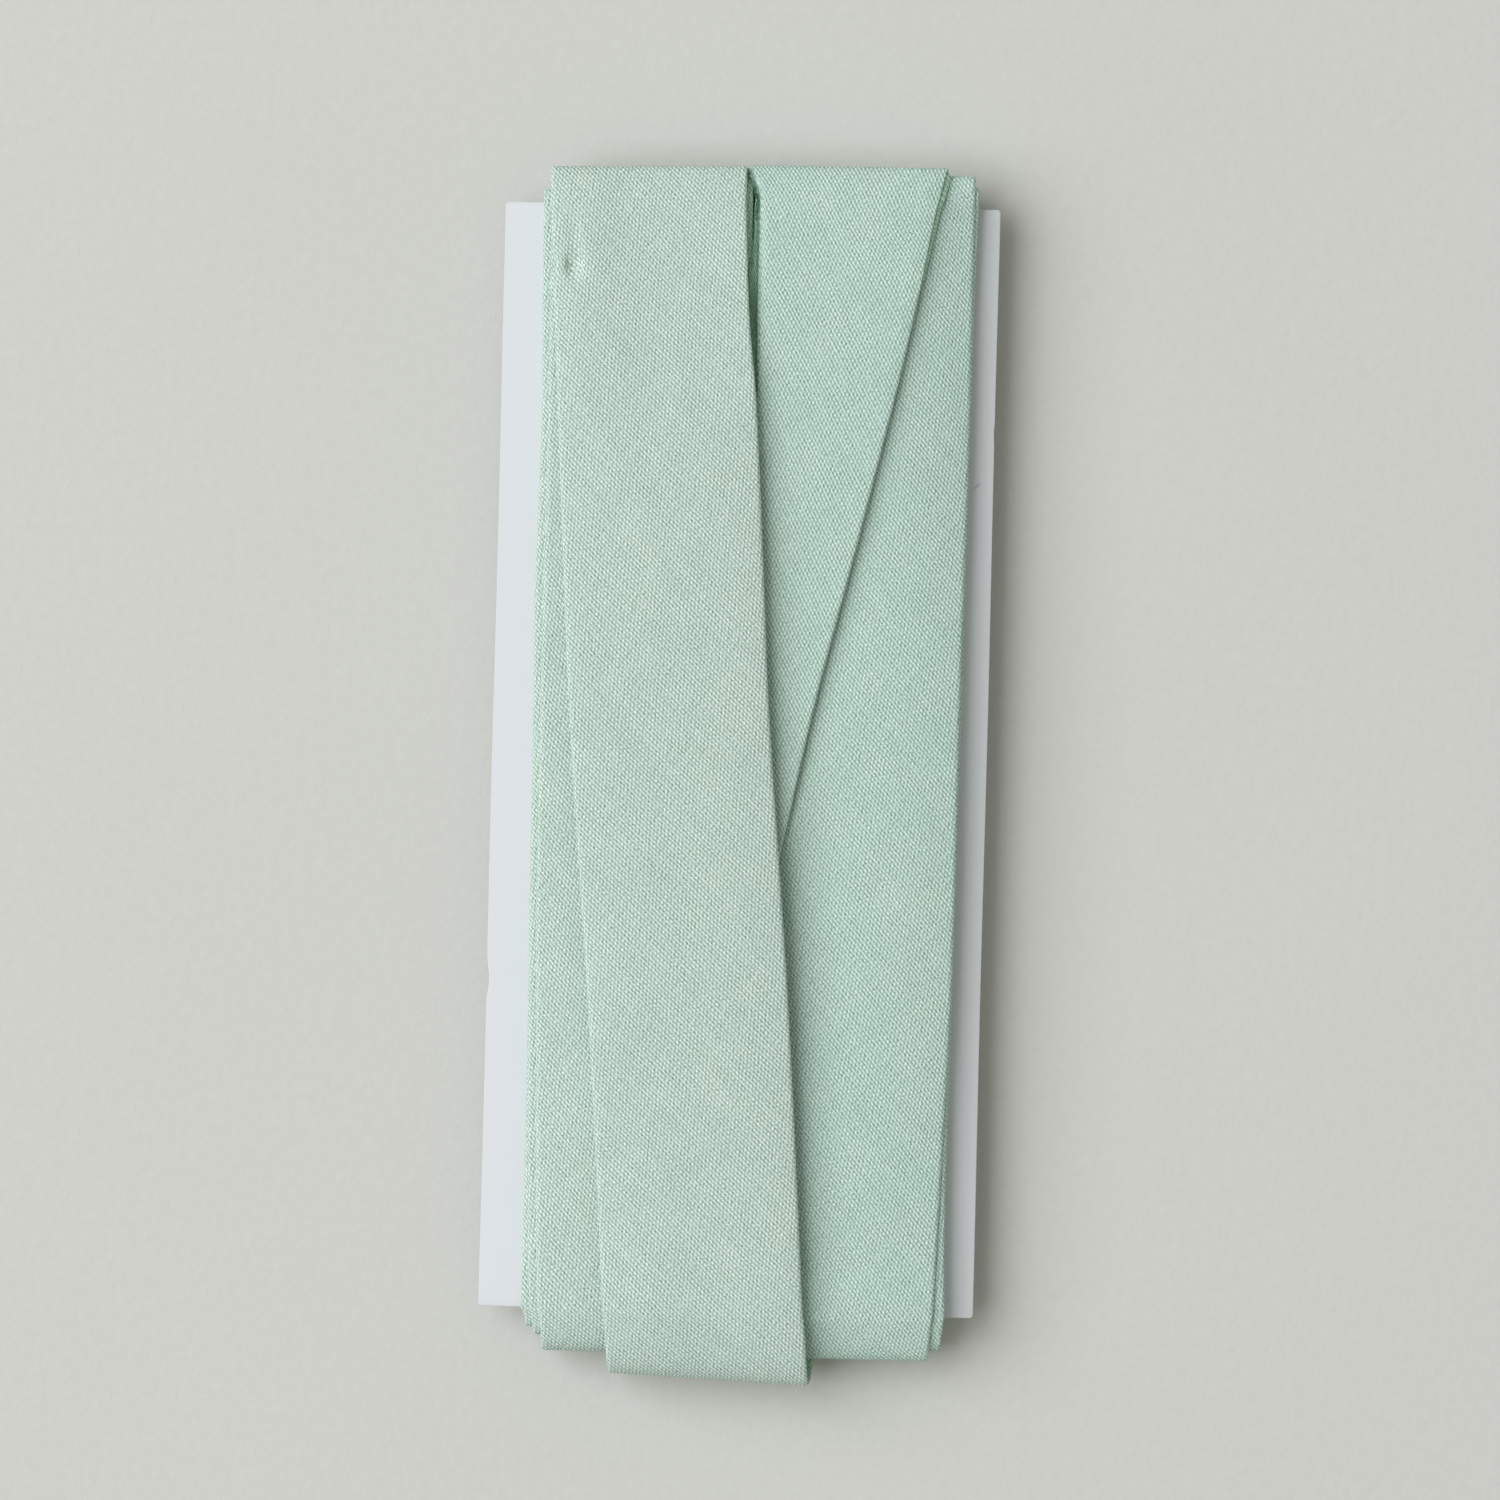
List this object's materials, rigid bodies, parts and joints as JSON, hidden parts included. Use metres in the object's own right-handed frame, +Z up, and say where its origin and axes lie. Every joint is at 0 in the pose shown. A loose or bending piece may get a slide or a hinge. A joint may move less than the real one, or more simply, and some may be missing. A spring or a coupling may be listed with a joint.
{
  "type": "bias binding wound on a card",
  "caption": "Folded bias binding wound flat about a long white card in two side-by-side columns, the last turn slanting across and its cut end tucked under.",
  "frame": {"origin": "the middle of the part's footprint, on the surface that it lies on", "axes": "+X across the card, +Y along the card towards the end where the last turn comes over, +Z up out of the front of the card"},
  "size_m": [0.0494, 0.1214, 0.0118],
  "materials": {
    "card": "smooth matt white board",
    "binding": "mint green plain-weave cotton, cut on the bias and pressed"
  },
  "bodies": {
    "root": {"card": "card", "binding": "binding"}
  },
  "joints": []
}
